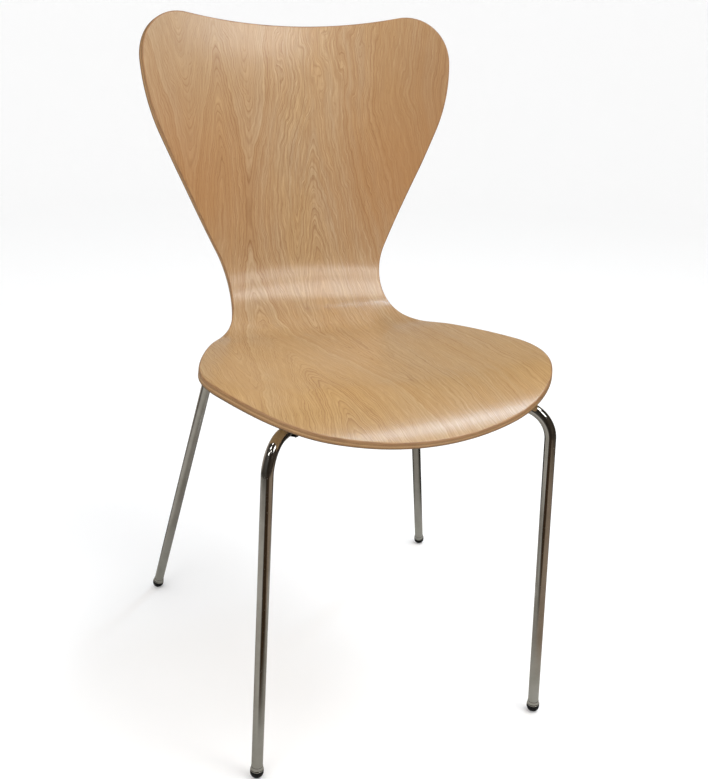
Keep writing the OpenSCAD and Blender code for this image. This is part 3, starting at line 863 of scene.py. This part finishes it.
def make_bumper(line, end, node):
    """A C-shaped rubber saddle clipped on the run, its top against the shell."""
    middle = line.knee + line.run * BUMPER_AT[end] * MM
    touch, normal = seat_underside(middle)
    side = Vector((0, 0, 1)).cross(line.run)
    outline = bumper_outline()
    points = []
    for reach in (-BUMPER_LENGTH / 2, BUMPER_LENGTH / 2):
        for across, height in outline:
            place = middle + line.run * reach * MM + side * across * MM
            if height is None:
                drop = (place.xy - touch.xy).dot(normal.xy) / normal.z
                place.z = touch.z - drop - BUMPER_GAP * MM
            else:
                place.z += height * MM
            points.append(place)
    near, far = ring_numbers(2, len(outline))
    faces = [tuple(near), tuple(reversed(far))] + band(far, near)
    piece = link_mesh(node + "_saddle", points, faces)
    rounding = piece.modifiers.new("rounding", "BEVEL")
    rounding.width = BUMPER_ROUNDING * MM
    rounding.segments = 3
    rounding.limit_method = "ANGLE"
    rounding.angle_limit = math.radians(40)
    settle(piece, node, "rubber")


for end in KNEES:
    for side in SIDE_SIGN:
        leg_line = LegLine(end, side)
        make_leg(leg_line, f"{end}_{side}_leg")
        make_ferrule(leg_line, f"{end}_{side}_ferrule")
        make_glide(leg_line, f"{end}_{side}_glide")
        make_bumper(leg_line, end, f"{end}_{side}_bumper")

# The mounting under the seat keeps its CAD shapes and gets better materials
KEPT_NODES = {
    "rubber": ["plate_pad"],
    "plastic": ["plate_cover"],
    "zinc": ["tee_nuts", "mounting_plate", "plate_washers", "plate_spring_washers", "plate_screws",
             "cover_boss", "cover_screw"],
}
for look, nodes in KEPT_NODES.items():
    for node in nodes:
        for material_slot in frame["nodes"][node].material_slots:
            material_slot.link = "OBJECT"
            material_slot.material = MATERIALS[look]


# ---------------------------------------------------------------------------------------------
# Stage: a pale floor and wall, and a dim room for the chrome to mirror
# ---------------------------------------------------------------------------------------------
FLOOR_MIDDLE = 0.5          # radius of the floor's one middle face
WALL_RADIUS = 6.0
WALL_SWEEP = 1.8
WALL_HEIGHT = 3.6
WALL_SIDES = 120
FLOOR_GLOW = 0.05

ROOM_RADIUS = 2.3
ROOM_HEIGHT = 2.75
ROOM_FLOOR = 0.004          # just over the pale floor
ROOM_MIDDLE = 0.02          # radius of the small openings in the middle of its floor and ceiling
ROOM_FLOOR_RING = 0.6
ROOM_DARK = linear(0.030, 0.024, 0.019)
# Painted light on the room's floor: paler near the chair and round each foot than further out
ROOM_NEAR_PAINTED_LIGHT = linear(0.36, 0.34, 0.30)
ROOM_NEAR_FADES = (0.20, 0.50)          # distances from the origin
ROOM_FOOT_PAINTED_LIGHT = linear(0.46, 0.45, 0.405)
ROOM_FOOT_FADES = (0.03, 0.17)          # distances from each foot
ROOM_BACKDROP = linear(0.42, 0.36, 0.30)
ROOM_BACKDROP_FROM = (0.5, 1.5)         # it fades in towards the back, over these places on Y,
ROOM_BACKDROP_UNDER = (0.9, 1.7)        # and out over these heights

# Patches of the room's floor and wall: direction in degrees from +X, half width, colour
ROOM_PATCHES = [
    (185, 50, linear(0.48, 0.455, 0.405)),
    (257, 21, linear(0.045, 0.026, 0.014)),
    (316, 38, linear(0.29, 0.22, 0.16)),
]
PATCH_SOFTNESS = 7
PATCH_FADES = (0.8, 1.4)    # between these distances the patches fade, to this share
PATCH_FAR_SHARE = 0.10

# The room's lamps: direction in degrees round from +X and up, radius
ROOM_LAMPS = [
    (-152, 42, 0.16),
    (-158, 58, 0.16),
    (-165, 72, 0.14),
    (-118, 50, 0.10),
    (-60, 40, 0.14),
    (-20, 52, 0.12),
]
LAMPS_ABOUT = Vector((0.0, 0.0, 0.45))
LAMPS_REACH = 2.1
LAMP_SIDES = 24
LAMP_GLOW = 7.0


def bearing(azimuth, elevation=0.0):
    """The unit vector at so many degrees round from +X and up."""
    azimuth, elevation = math.radians(azimuth), math.radians(elevation)
    return Vector((math.cos(azimuth) * math.cos(elevation), math.sin(azimuth) * math.cos(elevation),
                   math.sin(elevation)))


def turned_about_z(outline, sides):
    """Rings of points of an (r, z) outline in metres, turned about the Z axis, and their numbers."""
    spokes = ring_directions((1, 0, 0), (0, 1, 0), sides)
    points = np.concatenate([spokes * r + np.array((0, 0, z)) for r, z in outline])
    return points, ring_numbers(len(outline), sides)


def hide_from_all_but_glossy_rays(thing):
    """Only a reflection shows the thing, and it casts no shadow."""
    thing.visible_camera = False
    thing.visible_diffuse = False
    thing.visible_shadow = False
    thing.visible_transmission = False


def make_floor():
    """A round pale floor that sweeps up into a wall all round the chair."""
    flat = WALL_RADIUS - WALL_SWEEP
    sweep = arc(flat, WALL_SWEEP, WALL_SWEEP, -90, 0, steps=16)[1:]
    outline = [(FLOOR_MIDDLE, 0.0), (flat, 0.0)] + sweep + [(WALL_RADIUS, WALL_HEIGHT)]
    points, rings = turned_about_z(outline, WALL_SIDES)
    faces = [tuple(rings[0])]
    for inner, outer in zip(rings, rings[1:]):
        faces += band(outer, inner)
    floor = link_mesh("studio_floor", points, faces, sharp_angle=60)
    g = Graph("pale_floor")
    floor.data.materials.append(g.finish(
        Base_Color=linear(0.97, 0.97, 0.97),
        Roughness=0.75,
        Specular_IOR_Level=0.1,
        Emission_Color=linear(1, 1, 1),
        Emission_Strength=FLOOR_GLOW,
    ))


def dim_room_material():
    """Dark all round, with paler and darker patches, painted light on the floor near the chair and at the
    feet, and a warm backdrop.
    """
    g = Graph("dim_surroundings")
    place = g.position()
    distance = g.measure("LENGTH", place)
    x, y, z = g.split(place)
    outward = g.vector("NORMALIZE", g.join(x, y))
    fade = g.ramp(distance, *PATCH_FADES, 1.0, PATCH_FAR_SHARE)
    around = ROOM_DARK
    for centre, half_width, colour in ROOM_PATCHES:
        facing = g.measure("DOT_PRODUCT", outward, bearing(centre))
        edges = [math.cos(math.radians(half_width + soft)) for soft in (PATCH_SOFTNESS, -PATCH_SOFTNESS)]
        around = g.mix(g.math("MULTIPLY", g.ramp(facing, *edges), fade), around, colour)
    tint = g.mix(g.ramp(distance, *ROOM_NEAR_FADES), ROOM_NEAR_PAINTED_LIGHT, around)
    for end in KNEES:
        for side in SIDE_SIGN:
            gap = g.measure("DISTANCE", place, MOUNT_AT[f"{end}_{side}_floor"])
            tint = g.mix(g.ramp(gap, *ROOM_FOOT_FADES, 1.0, 0.0), tint, ROOM_FOOT_PAINTED_LIGHT)
    backdrop = g.math("MULTIPLY", g.ramp(y, *ROOM_BACKDROP_FROM), g.ramp(z, *ROOM_BACKDROP_UNDER, 1.0, 0.0))
    return g.finish(
        Base_Color=g.mix(backdrop, tint, ROOM_BACKDROP),
        Roughness=0.9,
        Specular_IOR_Level=0.0,
    )


def make_dark_room():
    """A dim room round the lit set that glossy rays alone see, for the chrome to mirror."""
    outline = [(ROOM_MIDDLE, ROOM_FLOOR), (ROOM_FLOOR_RING, ROOM_FLOOR), (ROOM_RADIUS, ROOM_FLOOR),
               (ROOM_RADIUS, ROOM_HEIGHT), (ROOM_MIDDLE, ROOM_HEIGHT)]
    points, rings = turned_about_z(outline, AROUND)
    faces = []
    for first, second in zip(rings, rings[1:]):
        faces += band(first, second)
    room = link_mesh("dark_room", points, faces)
    room.data.materials.append(dim_room_material())
    hide_from_all_but_glossy_rays(room)


def make_room_lamps():
    """Small lamps high in the dark room, which only glossy rays see."""
    glow = Graph("lamp_glow").finish(
        Base_Color=linear(0.8, 0.8, 0.8),
        Emission_Color=linear(1.0, 0.97, 0.92),
        Emission_Strength=LAMP_GLOW,
    )
    for number, (azimuth, elevation, radius) in enumerate(ROOM_LAMPS):
        outward = bearing(azimuth, elevation)
        side = outward.orthogonal().normalized()
        centre = np.array(LAMPS_ABOUT + outward * LAMPS_REACH)
        rim = ring_directions(side, outward.cross(side), LAMP_SIDES) * radius + centre
        lamp = link_mesh(f"room_lamp_{number}", rim, [tuple(range(LAMP_SIDES))])
        lamp.data.materials.append(glow)
        hide_from_all_but_glossy_rays(lamp)


# ---------------------------------------------------------------------------------------------
# Light and camera
# ---------------------------------------------------------------------------------------------
WORLD_STRENGTH = 0.86

# Softboxes: place, target, (width, height), watts, colour
SOFTBOXES = {
    "softbox_rear": ((1.02, 0.50, 2.4), (0.08, -0.24, 0.43), (0.18, 0.6), 5.6, (0.66, 0.82, 1.0)),
    "softbox_front": ((0.85, -0.62, 2.45), (0.0, 0.1, 0.45), (1.1, 0.8), 17, (1, 1, 1)),
    "softbox_low": ((1.02, -1.62, 2.2), (0.0, 0.1, 0.45), (1.0, 0.7), 9, (1, 1, 1)),
    "softbox_left": ((-2.1, -1.6, 1.7), (0.0, 0.0, 0.5), (1.6, 1.6), 14, (1, 1, 1)),
}

CAMERA_AZIMUTH = -20.604    # degrees from straight ahead of the chair, towards -X
CAMERA_ELEVATION = 19.755
CAMERA_ROLL = 1.151
CAMERA_DISTANCE = 1.2797
CAMERA_TARGET = Vector((0.0051, 0.0, 0.4069))
CAMERA_LENS = 48.49
CAMERA_SENSOR = 36.0


def make_lights():
    """Four softboxes in an even white world."""
    for name, (place, target, size, power, colour) in SOFTBOXES.items():
        light = bpy.data.lights.new(name, "AREA")
        light.shape = "RECTANGLE"
        light.size, light.size_y = size
        light.energy = power
        light.color = colour
        lamp = bpy.data.objects.new(name, light)
        lamp.location = place
        lamp.rotation_euler = (Vector(target) - Vector(place)).to_track_quat("-Z", "Y").to_euler()
        bpy.context.scene.collection.objects.link(lamp)
    world = bpy.data.worlds.new("studio")
    world.use_nodes = True
    background = world.node_tree.nodes["Background"]
    background.inputs["Color"].default_value = (1, 1, 1, 1)
    background.inputs["Strength"].default_value = WORLD_STRENGTH
    bpy.context.scene.world = world
    bpy.context.scene.view_settings.view_transform = "Standard"


def make_camera():
    """A camera ahead of the chair and above the seat, on the -X side, looking down on it."""
    back = bearing(CAMERA_AZIMUTH - 90, CAMERA_ELEVATION)
    right = bearing(CAMERA_AZIMUTH)
    up = back.cross(right)
    roll = math.radians(CAMERA_ROLL)
    rolled_right = right * math.cos(roll) + up * math.sin(roll)
    rolled_up = up * math.cos(roll) - right * math.sin(roll)
    data = bpy.data.cameras.new("camera")
    data.sensor_fit = "HORIZONTAL"
    data.sensor_width = CAMERA_SENSOR
    data.lens = CAMERA_LENS
    camera = bpy.data.objects.new("camera", data)
    pose = Matrix((rolled_right, rolled_up, back)).transposed().to_4x4()
    pose.translation = CAMERA_TARGET + back * CAMERA_DISTANCE
    bpy.context.scene.collection.objects.link(camera)
    camera.matrix_world = pose
    bpy.context.scene.camera = camera


make_floor()
make_dark_room()
make_room_lamps()
make_lights()
make_camera()
